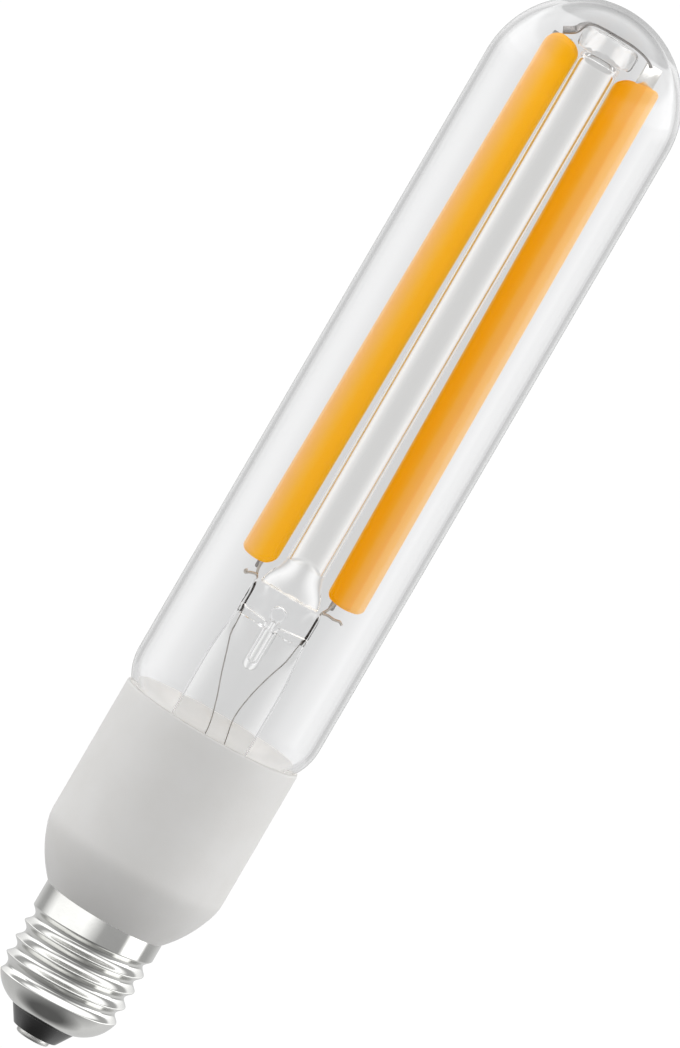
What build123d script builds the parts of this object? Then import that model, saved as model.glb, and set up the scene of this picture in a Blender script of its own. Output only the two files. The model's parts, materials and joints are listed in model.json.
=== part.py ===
"""LED filament bulb with an E27 screw cap, in millimetres.

+Z runs along the bulb's axis, from the bottom of the centre contact at the origin to the dome.
Left and right are as seen from -Y, with +X to the right.
"""

import os
from math import sqrt

from build123d import *

os.makedirs("parts", exist_ok=True)

# Screw cap: contact, insulator and rolled shell
contact_r = 3.6
contact_height = 1.2
contact_edge = 0.5
insulator_foot_r = 4.8
insulator_height = 3.6
insulator_seat = 0.4
shell_rim_r = 7.1
shell_height = 24.5
shell_wall = 0.4
flare_height = 6.2
flare_waist_r = 10.95
flare_waist_height = 2.3
crest_r = 13.1
thread_depth = 1.05
thread_pitch = 3.629
thread_land = 0.13
thread_root = 1.1
thread_turns = 3.7
thread_start = 135.0
groove_overrun = 0.15

# Housing: shoulder, barrel and the neck inside the shell
housing_r = 19.45
housing_wall = 1.8
housing_height = 43.1
shoulder_height = 13.2
shoulder_round = 10.0
shoulder_turn = 17.0
neck_above_flare = 1.3
neck_wall = 1.4
collar_seat = 3.3
cap_clearance = 0.12

# Glass bulb
overall_length = 236.4
glass_overhang = 1.25
glass_wall = 1.2
glass_corner = 11.4
corner_above_rim = 6.2
glass_neck_r = 11.5
glass_neck_length = 7.2
glass_neck_bevel = 1.2
glass_clearance = 0.15

# Adhesive between glass and housing
bead_height = 7.0
bead_below_rim = 2.0

# Glass stem: flare, tube, press and exhaust tube
stem_r = 8.65
stem_wall = 1.1
flare_rim = 1.2
flare_rise = 6.0
stem_tube_height = 24.0
press_taper = 11.0
press_height = 7.2
press_depth = 4.8
pinch_floor = 0.8
pinch_depth = 2.4
pinch_flat = 0.4
exhaust_r = 1.75
exhaust_bore_r = 0.9
exhaust_length = 9.6
exhaust_tip = 1.6
exhaust_hole_r = 1.6
exhaust_hole_drop = 4.2

# Glass support column with its foot and button
column_r = 4.25
column_bore_r = 3.5
foot_height = 6.7
foot_width = 12.8
foot_depth = 4.4
bore_floor = 0.4
button_r = 5.9
button_height = 5.0
button_bevel = 1.0
button_skin = 4.2
button_below_dome = 4.6

# Filaments, leaning together towards the dome and filling the room from the press to the strap
filament_width = 8.2
filament_depth = 4.8
filament_corner = 2.6
filament_bevel = 1.5
filament_bottom_x = 9.9
filament_top_x = 9.0
filament_above_press = 3.2

# Metal tabs and the strap over the button
tab_depth = 0.4
tab_grip = 2.0
top_tab_width = 4.3
top_tab_height = 3.2
bottom_tab_width = 1.2
bottom_tab_height = 1.4
bottom_tab_x = 8.4
strap_width = 3.6
strap_thick = 0.4
strap_half_span = 7.4
strap_end = 3.2
strap_rise = 1.2

# Lead wires: thick ones in the press, thin ones from there to the board
wire_sides = 8
inner_lead_r = 0.3
inner_lead_x = 7.2
inner_lead_rise = 1.0
inner_lead_drop = 3.1
outer_lead_r = 0.25
outer_lead_overlap = 1.6
outer_lead_straight = 0.5
left_swing_x = -0.6
left_swing_rise = 9.0
right_swing_x = 3.0
right_swing_rise = 16.0
left_notch_x = -1.6
right_notch_x = 4.4
notch_depth = 2.0
notch_straight = 3.0
wire_fit = 0.05

# Driver board, in rails inside the housing
board_depth = 1.2
board_height = 16.0
board_side_gap = 0.4
tongue_width = 17.0
tongue_length = 18.0
rail_depth = 1.2
rail_grip = 2.6
rail_gap = 0.1
pin_width = 0.6
pin_stub = 1.0

# Driver parts: tall ones on the board's back, flat ones on the tongue's front
electrolytic_r = 4.0
electrolytic_height = 11.5
electrolytic_x = -8.0
electrolytic_pitch = 3.5
film_width = 5.0
film_length = 12.0
film_height = 7.0
film_x = -0.4
film_pitch = 7.5
choke_width = 10.2
choke_length = 9.6
choke_depth = 5.0
choke_rise = 1.8
choke_leg = 2.4
choke_window = 2.3
choke_window_length = 6.4
choke_x = 8.2
winding_depth = 8.6
winding_gap = 0.2
flat_parts_drop = 6.5
bridge_x = -3.9
bridge_width = 4.0
bridge_length = 4.7
bridge_height = 2.5
bridge_leg_pitch = 2.54
chip_x = 3.9
chip_width = 3.9
chip_length = 4.9
chip_height = 1.5
chip_leg_pitch = 1.27
flat_leg = 1.05
flat_leg_width = 0.45
flat_leg_height = 0.75

# Supply wires, with the fuse resistor in line with the contact
supply_r = 0.5
supply_x = 4.0
supply_below_neck = 1.82
contact_wire_drop = 2.02
supply_gap = 0.05
fuse_r = 1.6
fuse_length = 8.0
fuse_lead = 1.0

# Heights and radii that the pieces share
shell_bottom = contact_height + insulator_height
shell_top = shell_bottom + shell_height
flare_top = shell_bottom + flare_height
groove_bottom = flare_top + thread_pitch * (thread_start - 180) / 360
shoulder_top = shell_top + shoulder_height
housing_top = shell_top + housing_height
corner_z = housing_top + corner_above_rim
glass_floor = corner_z - glass_corner
glass_r = housing_r + glass_overhang
dome_z = overall_length - glass_r
stem_bottom = glass_floor - glass_neck_length
stem_tube_top = stem_bottom + stem_tube_height
press_bottom = stem_tube_top + press_taper
press_top = press_bottom + press_height
button_top = overall_length - glass_wall - button_below_dome
button_bottom = button_top - button_height
top_tab_top = button_top - strap_rise
filament_top = top_tab_top - top_tab_height
filament_bottom = press_top + filament_above_press
filament_length = filament_top - filament_bottom
board_bottom = shoulder_top
board_top = board_bottom + board_height
tongue_bottom = board_bottom - tongue_length
notch_bottom = board_top - notch_depth
fuse_top = tongue_bottom - fuse_lead
fuse_bottom = fuse_top - fuse_length


def write(piece, name):
    """Label a finished piece and write its file."""
    piece.part.label = name
    export_step(piece.part, f"parts/{name}.step")


def turned(*points):
    """Solid of revolution about Z from the corners (radius, height) of its half section."""
    with BuildPart() as body:
        with BuildSketch(Plane.XZ):
            with BuildLine():
                Polyline(*points, close=True)
            make_face()
        revolve(axis=Axis.Z)
    return body


def mirrored(piece):
    """The left-hand piece that matches a right-hand one."""
    with BuildPart() as other:
        add(piece.part)
        mirror(about=Plane.YZ, mode=Mode.REPLACE)
    return other


def wire(radius, *points):
    """Thin wire along straight runs, its round section drawn with a few sides."""
    with BuildPart() as body:
        with BuildLine() as route:
            Polyline(*points)
        with BuildSketch(Plane(origin=route.line @ 0, z_dir=route.line % 0)):
            RegularPolygon(radius, wire_sides)
        sweep(path=route.line, transition=Transition.RIGHT)
    return body


def bulb_form(inset):
    """Solid form of the bulb, drawn in by inset all round: dome, tube, rounded corner and neck."""
    radius = glass_r - inset
    corner = glass_corner - inset
    neck = glass_neck_r - inset
    mouth = neck + glass_neck_bevel
    mouth_z = corner_z - sqrt(corner**2 - (mouth - glass_r + glass_corner) ** 2)
    with BuildPart() as form:
        with BuildSketch(Plane.XZ):
            with BuildLine():
                dome = RadiusArc((0, dome_z + radius), (radius, dome_z), radius)
                side = Line(dome @ 1, (radius, corner_z))
                turn = RadiusArc(side @ 1, (mouth, mouth_z), corner)
                bevel = Line(turn @ 1, (neck, mouth_z - glass_neck_bevel))
                Polyline(bevel @ 1, (neck, stem_bottom), (0, stem_bottom), dome @ 0)
            make_face()
        revolve(axis=Axis.Z)
    return form.part


def pinched(radius, depth, flat_bottom, flat_top):
    """Round bar on the stem's tube, squeezed from front and back to a flat of the given depth."""
    half = depth / 2
    with BuildPart() as form:
        with BuildSketch(Plane.YZ):
            with BuildLine():
                front = Polyline((-radius, stem_tube_top), (-half, flat_bottom), (-half, flat_top))
                back = Polyline(front @ 1, (half, flat_top), (half, flat_bottom), (radius, stem_tube_top))
                Line(back @ 1, front @ 0)
            make_face()
        extrude(amount=radius, both=True)
        with BuildSketch(Plane.XY.offset(stem_tube_top)):
            Circle(radius)
        extrude(amount=flat_top - stem_tube_top, mode=Mode.INTERSECT)
    return form.part


# Centre contact: a disc to which the supply wire is soldered through the insulator's hole
with BuildPart() as centre_contact:
    with BuildSketch(Plane.XY):
        Circle(contact_r)
    extrude(amount=contact_height)
    chamfer(centre_contact.edges().sort_by(Axis.Z)[0], contact_edge)
write(centre_contact, "centre_contact")

# Black glass insulator, moulded into the shell's lower end, with a hole for the contact's wire
wire_hole_r = supply_r + wire_fit
insulator_inner_r = shell_rim_r - shell_wall
insulator_top_r = insulator_inner_r + insulator_seat * (crest_r - shell_rim_r)
insulator_top = shell_bottom + insulator_seat * flare_height
bore_slope = flare_height / (crest_r - shell_rim_r)
insulator = turned(
    (wire_hole_r, contact_height),
    (insulator_foot_r, contact_height),
    (shell_rim_r, shell_bottom),
    (insulator_inner_r, shell_bottom),
    (insulator_top_r, insulator_top),
    (wire_hole_r, insulator_top),
)
write(insulator, "insulator")

# Groove of the right-hand thread, which starts at the back of the flare and runs up to the collar
groove_half = (thread_pitch - thread_land) / 2
with BuildPart() as thread_groove:
    with BuildLine():
        turns = Helix(thread_pitch, thread_pitch * thread_turns, crest_r, center=(0, 0, groove_bottom))
    with BuildSketch(Plane(origin=turns @ 0, x_dir=(1, 0, 0), z_dir=turns % 0)):
        with BuildLine():
            mouth_low = (groove_overrun, -groove_half)
            mouth_high = (groove_overrun, groove_half)
            root_low = (-thread_depth, -thread_root / 2)
            root_high = (-thread_depth, thread_root / 2)
            Polyline(mouth_low, root_low, root_high, mouth_high, close=True)
        make_face()
    sweep(path=turns, is_frenet=True)

# Screw shell: flare, threaded part and plain collar, with the housing's seat inside the collar
seat_r = crest_r - shell_wall
bore_r = crest_r - thread_depth - shell_wall
bore_bottom = shell_bottom + bore_slope * (bore_r - insulator_inner_r)
collar_bottom = shell_top - collar_seat
with BuildPart() as screw_shell:
    with BuildSketch(Plane.XZ):
        with BuildLine():
            waist_z = shell_bottom + flare_waist_height
            flare = Polyline((shell_rim_r, shell_bottom), (flare_waist_r, waist_z), (crest_r, flare_top))
            collar = Polyline(flare @ 1, (crest_r, shell_top), (seat_r, shell_top), (seat_r, collar_bottom))
            bore = Polyline(collar @ 1, (bore_r, collar_bottom), (bore_r, bore_bottom))
            Polyline(bore @ 1, (insulator_inner_r, shell_bottom), flare @ 0)
        make_face()
    revolve(axis=Axis.Z)
    add(thread_groove.part, rotation=(0, 0, thread_start), mode=Mode.SUBTRACT)
write(screw_shell, "screw_shell")

# Housing with its neck, the board's rails and a mouth shaped to the glass
neck_r = bore_r - cap_clearance
neck_seat_r = seat_r - cap_clearance
funnel_bottom = shell_top + housing_wall
corner_fit = glass_corner + glass_clearance
corner_r = glass_r - glass_corner
mouth_r = corner_r + sqrt(corner_fit**2 - corner_above_rim**2)
mouth_z = corner_z - sqrt(corner_fit**2 - (housing_r - housing_wall - corner_r) ** 2)
neck_bore_r = neck_r - neck_wall
neck_bottom = flare_top + neck_above_flare
inner_r = housing_r - housing_wall
board_half = inner_r - board_side_gap
rail_side = board_depth / 2 + rail_gap + rail_depth / 2
with BuildPart() as housing:
    with BuildSketch(Plane.XZ):
        with BuildLine():
            side = Line((housing_r, housing_top), (housing_r, shoulder_top))
            turn = JernArc(side @ 1, (0, -1), shoulder_round, -shoulder_turn)
            slope = TangentArc(turn @ 1, (crest_r, shell_top), tangent=turn % 1)
            seat = Polyline(slope @ 1, (neck_seat_r, shell_top), (neck_seat_r, collar_bottom))
            neck = Polyline(seat @ 1, (neck_r, collar_bottom), (neck_r, neck_bottom))
            bore = Polyline(neck @ 1, (neck_bore_r, neck_bottom), (neck_bore_r, funnel_bottom))
            funnel = Line(bore @ 1, (inner_r, shoulder_top))
            Polyline(funnel @ 1, (inner_r, mouth_z), (mouth_r, housing_top), side @ 0)
        make_face()
    revolve(axis=Axis.Z)
    with BuildSketch(Plane.XY.offset(board_bottom)):
        for side in (-1, 1):
            for face in (-1, 1):
                with Locations((side * (inner_r + housing_wall / 2), face * rail_side)):
                    grip = board_side_gap + rail_grip + housing_wall / 2
                    edge = Align.MAX if side > 0 else Align.MIN
                    Rectangle(grip, rail_depth, align=(edge, Align.CENTER))
    extrude(amount=board_height)
write(housing, "housing")

# Glass bulb, blown to an even wall and open at its neck
with BuildPart() as glass_bulb:
    add(bulb_form(0))
    add(bulb_form(glass_wall), mode=Mode.SUBTRACT)
write(glass_bulb, "glass_bulb")

# Silicone bead that holds the glass in the housing's mouth
with BuildPart() as adhesive_ring:
    with BuildSketch(Plane.XY.offset(housing_top - bead_below_rim)):
        Circle(inner_r)
    extrude(amount=-bead_height)
    add(bulb_form(0), mode=Mode.SUBTRACT)
write(adhesive_ring, "adhesive_ring")

# Thick leads from the filaments' bottom tabs down through the press
lead_knee_z = press_top + inner_lead_rise
inner_lead_bottom = press_bottom - inner_lead_drop
inner_lead_right = wire(
    inner_lead_r,
    (bottom_tab_x, 0, filament_bottom),
    (bottom_tab_x, 0, lead_knee_z + bottom_tab_x - inner_lead_x),
    (inner_lead_x, 0, lead_knee_z),
    (inner_lead_x, 0, inner_lead_bottom),
)
inner_lead_left = mirrored(inner_lead_right)
write(inner_lead_right, "inner_lead_right")
write(inner_lead_left, "inner_lead_left")

# Thin leads from the thick ones down the stem to notches in the board's top edge
weld_x = inner_lead_x - inner_lead_r - outer_lead_r
weld_top = inner_lead_bottom + outer_lead_overlap
weld_bottom = inner_lead_bottom - outer_lead_straight
outer_lead_left = wire(
    outer_lead_r,
    (-weld_x, 0, weld_top),
    (-weld_x, 0, weld_bottom),
    (left_swing_x, 0, stem_bottom + left_swing_rise),
    (left_notch_x, 0, board_top + notch_straight),
    (left_notch_x, 0, notch_bottom),
)
outer_lead_right = wire(
    outer_lead_r,
    (weld_x, 0, weld_top),
    (weld_x, 0, weld_bottom),
    (right_swing_x, 0, stem_bottom + right_swing_rise),
    (right_notch_x, 0, board_top + notch_straight),
    (right_notch_x, 0, notch_bottom),
)
write(outer_lead_left, "outer_lead_left")
write(outer_lead_right, "outer_lead_right")

# Glass stem: the flared tube is lofted flat into the press that seals the leads
stem_flare_top = stem_bottom + flare_rim + flare_rise
stem_rim_r = glass_neck_r - glass_wall
stem_bore_r = stem_r - stem_wall
pinch_top = press_bottom - pinch_floor
hole_z = press_top - exhaust_hole_drop
tip_z = press_bottom - exhaust_length
stem_tube = turned(
    (stem_rim_r, stem_bottom),
    (stem_rim_r, stem_bottom + flare_rim),
    (stem_r, stem_flare_top),
    (stem_r, stem_tube_top),
    (stem_bore_r, stem_tube_top),
    (stem_bore_r, stem_flare_top),
    (stem_rim_r - stem_wall, stem_bottom),
)
with BuildPart() as stem:
    add(stem_tube.part)
    add(pinched(stem_r, press_depth, press_bottom, press_top))
    add(pinched(stem_bore_r, pinch_depth, pinch_top - pinch_flat, pinch_top), mode=Mode.SUBTRACT)
    with BuildSketch(Plane.XY.offset(tip_z)):
        Circle(exhaust_r)
    extrude(amount=exhaust_length)
    with BuildSketch(Plane.XY.offset(tip_z + exhaust_tip)):
        Circle(exhaust_bore_r)
    extrude(amount=exhaust_length - exhaust_tip + press_height / 2, mode=Mode.SUBTRACT)
    with BuildSketch(Plane.XZ):
        with Locations((0, hole_z)):
            Circle(exhaust_hole_r)
    extrude(amount=press_depth, both=True, mode=Mode.SUBTRACT)
    add(inner_lead_right.part, mode=Mode.SUBTRACT)
    add(inner_lead_left.part, mode=Mode.SUBTRACT)
write(stem, "stem")

# Support column: a lofted foot on the press, the tube and the button with its domed top
arch_r = (strap_half_span**2 + strap_rise**2) / (2 * strap_rise)
crown_r = button_r - button_bevel
crown_z = button_top - arch_r + sqrt(arch_r**2 - crown_r**2)
column_bottom = press_top + foot_height
column_bore_bottom = column_bottom + bore_floor
column_bore_top = button_top - button_skin
with BuildPart() as support_column:
    with BuildSketch(Plane.XY.offset(press_top)):
        Ellipse(foot_width / 2, foot_depth / 2)
    with BuildSketch(Plane.XY.offset(column_bottom)):
        Circle(column_r)
    loft()
    with BuildSketch(Plane.XY.offset(column_bottom)):
        Circle(column_r)
    extrude(amount=button_bottom - column_bottom)
    with BuildSketch(Plane.XZ):
        with BuildLine():
            crown = RadiusArc((0, button_top), (crown_r, crown_z), arch_r)
            edge = Line(crown @ 1, (button_r, crown_z - button_bevel))
            side = Line(edge @ 1, (button_r, button_bottom + button_bevel))
            Polyline(side @ 1, (crown_r, button_bottom), (0, button_bottom), crown @ 0)
        make_face()
    revolve(axis=Axis.Z)
    with BuildSketch(Plane.XY.offset(column_bore_bottom)):
        Circle(column_bore_r)
    extrude(amount=column_bore_top - column_bore_bottom, mode=Mode.SUBTRACT)
write(support_column, "support_column")

# Filaments and their end tabs, the right side mirrored to the left
lean = filament_bottom_x - filament_top_x
filament_plane = Plane(
    origin=((filament_bottom_x + filament_top_x) / 2, 0, (filament_bottom + filament_top) / 2),
    x_dir=(filament_length, 0, lean),
    z_dir=(0, -1, 0),
)
filament_end = Plane(
    origin=filament_plane.from_local_coords((0, -filament_length / 2, 0)),
    x_dir=filament_plane.x_dir,
    z_dir=filament_plane.y_dir,
)
bottom_tab_plane = Plane.XZ.offset(-inner_lead_r - tab_depth / 2)
top_tab_low = filament_top - tab_grip
bottom_tab_low = filament_bottom - bottom_tab_height
with BuildPart() as top_tab_right:
    with BuildSketch(Plane.XZ):
        with Locations((filament_top_x, top_tab_low)):
            Rectangle(top_tab_width, top_tab_top - top_tab_low, align=(Align.CENTER, Align.MIN))
    extrude(amount=tab_depth / 2, both=True)
with BuildPart() as bottom_tab_right:
    with BuildSketch(bottom_tab_plane):
        with Locations((bottom_tab_x, bottom_tab_low)):
            Rectangle(bottom_tab_width, bottom_tab_height + tab_grip, align=(Align.CENTER, Align.MIN))
    extrude(amount=tab_depth / 2, both=True)
with BuildPart() as filament_right:
    with BuildSketch(filament_plane):
        RectangleRounded(filament_width, filament_length, filament_corner)
    extrude(amount=filament_depth / 2, both=True)
    with BuildSketch(filament_end) as section:
        Rectangle(filament_width, filament_depth)
        chamfer(section.vertices(), filament_bevel)
    extrude(amount=filament_length, mode=Mode.INTERSECT)
    add(top_tab_right.part, mode=Mode.SUBTRACT)
    add(bottom_tab_right.part, mode=Mode.SUBTRACT)

# Metal strap over the button, from tab to tab
strap_end_x = strap_half_span + strap_end
strap_end_top = top_tab_top + strap_thick
with BuildPart() as top_strap:
    with BuildSketch(Plane.XZ):
        with BuildLine():
            under = RadiusArc((-strap_half_span, top_tab_top), (strap_half_span, top_tab_top), arch_r)
            over = RadiusArc((-strap_half_span, strap_end_top), (strap_half_span, strap_end_top), arch_r)
            for side, low, high in ((-1, under @ 0, over @ 0), (1, under @ 1, over @ 1)):
                end = side * strap_end_x
                Polyline(low, (end, top_tab_top), (end, strap_end_top), high)
        make_face()
    extrude(amount=strap_width / 2, both=True)
write(top_strap, "top_strap")

write(filament_right, "filament_right")
write(mirrored(filament_right), "filament_left")
write(top_tab_right, "top_tab_right")
write(mirrored(top_tab_right), "top_tab_left")
write(bottom_tab_right, "bottom_tab_right")
write(mirrored(bottom_tab_right), "bottom_tab_left")

# Driver board with a tongue into the cap, and holes and notches for the pins and wires
back_face = Plane.XZ.offset(-board_depth / 2)
front_face = Plane.XZ.offset(board_depth / 2)
part_z = board_bottom + board_height / 2
flat_parts_z = board_bottom - flat_parts_drop


def pins(*spots):
    """Square pins from the board's back face through the board, at the spots (x, z)."""
    with BuildPart() as legs:
        with BuildSketch(back_face):
            with Locations(*spots):
                Rectangle(pin_width, pin_width)
        extrude(amount=board_depth + pin_stub)
    return legs.part


def flat_part(x, width, length, height, leg_pitch, leg_count):
    """Surface-mounted block on the tongue's front face, with a row of legs along each side."""
    with BuildPart() as block:
        with BuildSketch(front_face):
            with Locations((x, flat_parts_z)):
                Rectangle(width, length)
        extrude(amount=height)
        with BuildSketch(front_face):
            with Locations((x, flat_parts_z)):
                with GridLocations(width + flat_leg, leg_pitch, 2, leg_count):
                    Rectangle(flat_leg, flat_leg_width)
        extrude(amount=flat_leg_height)
    return block


half_pitch = electrolytic_pitch / 2
electrolytic_pins = pins((electrolytic_x - half_pitch, part_z), (electrolytic_x + half_pitch, part_z))
film_pins = pins((film_x, part_z - film_pitch / 2), (film_x, part_z + film_pitch / 2))
choke_pin_x = choke_leg / 2 + choke_window / 2
choke_pins = pins((choke_x - choke_pin_x, part_z), (choke_x + choke_pin_x, part_z))
with BuildPart() as circuit_board:
    with BuildSketch(Plane.XZ):
        with Locations((0, board_bottom)):
            Rectangle(2 * board_half, board_height, align=(Align.CENTER, Align.MIN))
        with Locations((0, tongue_bottom)):
            Rectangle(tongue_width, tongue_length, align=(Align.CENTER, Align.MIN))
        with Locations((left_notch_x, board_top), (right_notch_x, board_top)):
            Rectangle(2 * (outer_lead_r + wire_fit), 2 * notch_depth, mode=Mode.SUBTRACT)
        with Locations((-supply_x, tongue_bottom), (supply_x, tongue_bottom)):
            Rectangle(2 * (supply_r + wire_fit), 2 * notch_depth, mode=Mode.SUBTRACT)
    extrude(amount=board_depth / 2, both=True)
    add(electrolytic_pins, mode=Mode.SUBTRACT)
    add(film_pins, mode=Mode.SUBTRACT)
    add(choke_pins, mode=Mode.SUBTRACT)
write(circuit_board, "circuit_board")

# Capacitors and choke on the back of the board
with BuildPart() as electrolytic_capacitor:
    with BuildSketch(back_face):
        with Locations((electrolytic_x, part_z)):
            Circle(electrolytic_r)
    extrude(amount=-electrolytic_height)
    add(electrolytic_pins)
write(electrolytic_capacitor, "electrolytic_capacitor")
with BuildPart() as film_capacitor:
    with BuildSketch(back_face):
        with Locations((film_x, part_z)):
            Rectangle(film_width, film_length)
    extrude(amount=-film_height)
    add(film_pins)
write(film_capacitor, "film_capacitor")
with BuildPart() as choke_core:
    with BuildSketch(back_face.offset(-choke_rise)):
        with Locations((choke_x, part_z)):
            Rectangle(choke_width, choke_length)
            with GridLocations(choke_leg + choke_window, 0, 2, 1):
                Rectangle(choke_window, choke_window_length, mode=Mode.SUBTRACT)
    extrude(amount=-choke_depth)
write(choke_core, "choke_core")
with BuildPart() as choke_winding:
    with BuildSketch(back_face):
        with Locations((choke_x, part_z)):
            Rectangle(choke_leg + 2 * choke_window - 2 * winding_gap, choke_window_length - 2 * winding_gap)
    extrude(amount=-winding_depth)
    add(choke_core.part, mode=Mode.SUBTRACT)
    add(choke_pins)
write(choke_winding, "choke_winding")

# Rectifier and driver chip on the tongue
rectifier_bridge = flat_part(bridge_x, bridge_width, bridge_length, bridge_height, bridge_leg_pitch, 2)
write(rectifier_bridge, "rectifier_bridge")
driver_chip = flat_part(chip_x, chip_width, chip_length, chip_height, chip_leg_pitch, 4)
write(driver_chip, "driver_chip")

# Fuse resistor hanging from the tongue, the wire from it to the contact and the wire to the shell
with BuildPart() as fuse_resistor:
    with BuildSketch(Plane.XY.offset(fuse_bottom)):
        with Locations((-supply_x, 0)):
            Circle(fuse_r)
    extrude(amount=fuse_length)
    with BuildSketch(Plane.XY.offset(fuse_bottom - fuse_lead)):
        with Locations((-supply_x, 0)):
            Rectangle(pin_width, pin_width)
    extrude(amount=fuse_length + 2 * fuse_lead + notch_depth)
write(fuse_resistor, "fuse_resistor")
contact_wire_top = fuse_bottom - fuse_lead
contact_wire = wire(
    supply_r,
    (-supply_x, 0, contact_wire_top),
    (-supply_x, 0, contact_wire_top - contact_wire_drop),
    (0, 0, contact_wire_top - contact_wire_drop - supply_x / 2),
    (0, 0, contact_height),
)
write(contact_wire, "contact_wire")
supply_turn_z = neck_bottom - supply_below_neck
shell_wire = wire(
    supply_r,
    (supply_x, 0, tongue_bottom + notch_depth),
    (supply_x, 0, supply_turn_z + supply_x),
    (2 * supply_x, 0, supply_turn_z),
    (bore_r - supply_gap, 0, supply_turn_z),
)
write(shell_wire, "shell_wire")
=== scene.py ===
"""Looks of the LED filament bulb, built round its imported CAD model. All lengths are in metres.

+Z runs along the bulb's axis from the cap's contact to the dome, and the camera looks along +Y.
"""

import json
from math import acos, atan2, ceil, cos, hypot, pi, radians, sin, sqrt, tan

import bmesh
import bpy
from mathutils import Matrix, Vector, noise


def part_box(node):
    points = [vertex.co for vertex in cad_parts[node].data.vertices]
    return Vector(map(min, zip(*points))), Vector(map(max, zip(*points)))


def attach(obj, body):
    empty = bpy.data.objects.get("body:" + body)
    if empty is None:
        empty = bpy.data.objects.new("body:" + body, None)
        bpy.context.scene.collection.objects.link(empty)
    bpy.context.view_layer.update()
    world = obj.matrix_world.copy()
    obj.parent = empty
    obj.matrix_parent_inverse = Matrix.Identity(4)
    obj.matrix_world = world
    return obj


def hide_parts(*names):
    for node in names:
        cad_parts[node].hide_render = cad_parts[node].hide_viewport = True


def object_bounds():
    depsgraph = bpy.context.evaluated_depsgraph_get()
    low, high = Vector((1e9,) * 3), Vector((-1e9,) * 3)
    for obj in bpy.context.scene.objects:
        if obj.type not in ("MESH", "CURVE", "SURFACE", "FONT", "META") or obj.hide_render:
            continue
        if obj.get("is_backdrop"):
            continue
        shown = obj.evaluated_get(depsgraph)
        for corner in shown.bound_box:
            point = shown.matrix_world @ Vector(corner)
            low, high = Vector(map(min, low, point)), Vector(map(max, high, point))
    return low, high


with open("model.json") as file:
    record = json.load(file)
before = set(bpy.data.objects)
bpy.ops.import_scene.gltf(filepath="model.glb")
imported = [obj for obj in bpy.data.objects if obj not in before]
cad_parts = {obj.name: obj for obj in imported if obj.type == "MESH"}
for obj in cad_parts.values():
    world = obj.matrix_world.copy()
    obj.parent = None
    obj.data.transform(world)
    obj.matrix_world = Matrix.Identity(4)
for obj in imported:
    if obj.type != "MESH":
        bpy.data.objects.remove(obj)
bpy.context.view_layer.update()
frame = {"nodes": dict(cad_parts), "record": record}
mm = 0.001

# Fineness of the meshes, small tolerances, and the angles at which edges count as sharp
turn_sides = 160
glass_sides = 360
shell_sides = 200
oval_sides = 96
pipe_sides = 40
bore_sides = 32
round_steps = 6
round_share = 0.49
on_axis = 1e-7
level_slack = 0.01 * mm
sharp_angle = radians(38)
fold_angle = radians(60)

# Glass bulb
glass_wall = 1.2 * mm
glass_corner = 11.4 * mm
glass_corner_rise = 6.2 * mm
glass_neck_r = 11.5 * mm
glass_neck_bevel = 1.2 * mm
dome_steps = 44
straight_steps = 12
glass_corner_steps = 20

# Housing and the silicone bead in its mouth
housing_wall = 1.8 * mm
shoulder_height = 13.2 * mm
shoulder_round = 10.0 * mm
shoulder_turn = radians(17)
housing_lip = 0.6 * mm
neck_wall = 1.4 * mm
collar_seat = 3.3 * mm
seat_gap = 0.12 * mm
glass_gap = 0.15 * mm
lip_steps = 5
side_steps = 8
shoulder_steps = 8
slope_steps = 28
bead_skin = 0.04 * mm
bead_steps = 16
mouth_steps = 6

# Screw shell
rim_r = 7.1 * mm
shell_wall = 0.4 * mm
flare_height = 6.2 * mm
flare_waist_r = 10.95 * mm
flare_waist_height = 2.3 * mm
flare_arc_steps = 40
thread_pitch = 3.629 * mm
thread_depth = 1.05 * mm
groove_depth = 1.22 * mm
groove_clear = 0.6
thread_turns = 3.7
thread_start = radians(135)
thread_fade = 0.16
crest_round = 0.14
rows_per_turn = 56
same_height = 0.0001 * mm

# Insulator and contact
contact_edge = 0.5 * mm
insulator_foot_r = 4.8 * mm
rim_gap = 0.05 * mm
wire_hole_r = 0.55 * mm
fine_edge = 0.1 * mm
glaze_edge = 0.3 * mm

# Glass stem, with its press, exhaust tube and blown hole
stem_r = 8.65 * mm
stem_wall = 0.35 * mm
flare_rim = 1.2 * mm
flare_rise = 6.0 * mm
flare_steps = 8
stem_tube_height = 24.0 * mm
stem_steps = 5
press_half_width = 7.75 * mm
press_square = 14
press_taper = 11.0 * mm
taper_straight = 0.85
taper_steps = 18
press_depth = 4.8 * mm
press_height = 5.4 * mm
press_round = 0.9 * mm
press_steps = 9
press_round_steps = 5
press_wave = 0.14 * mm
wave_rise = 1.5 * mm
pinch_depth = 2.4 * mm
pinch_sag = 0.9 * mm
pinch_round = 0.8 * mm
hollow_overshoot = 1.0 * mm
ridge_wave = 0.45 * mm
ridge_grain = 1.5 * mm
ridge_depth = 1.3 * mm
exhaust_r = 1.75 * mm
exhaust_bore_r = 0.9 * mm
exhaust_length = 9.6 * mm
exhaust_tip = 1.6 * mm
exhaust_overlap = 0.3 * mm
tip_steps = 8
bore_tip_share = 0.7
bore_tip_rise = 0.2 * mm
bore_tip_height = 0.7 * mm
exhaust_hole_r = 1.6 * mm
exhaust_hole_drop = 4.2 * mm
hole_overshoot = 0.4 * mm
hole_waist = 0.25 * mm
hole_flare = 0.5 * mm
hole_straight = 0.45
hole_steps = 12
weld = 0.004 * mm

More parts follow.
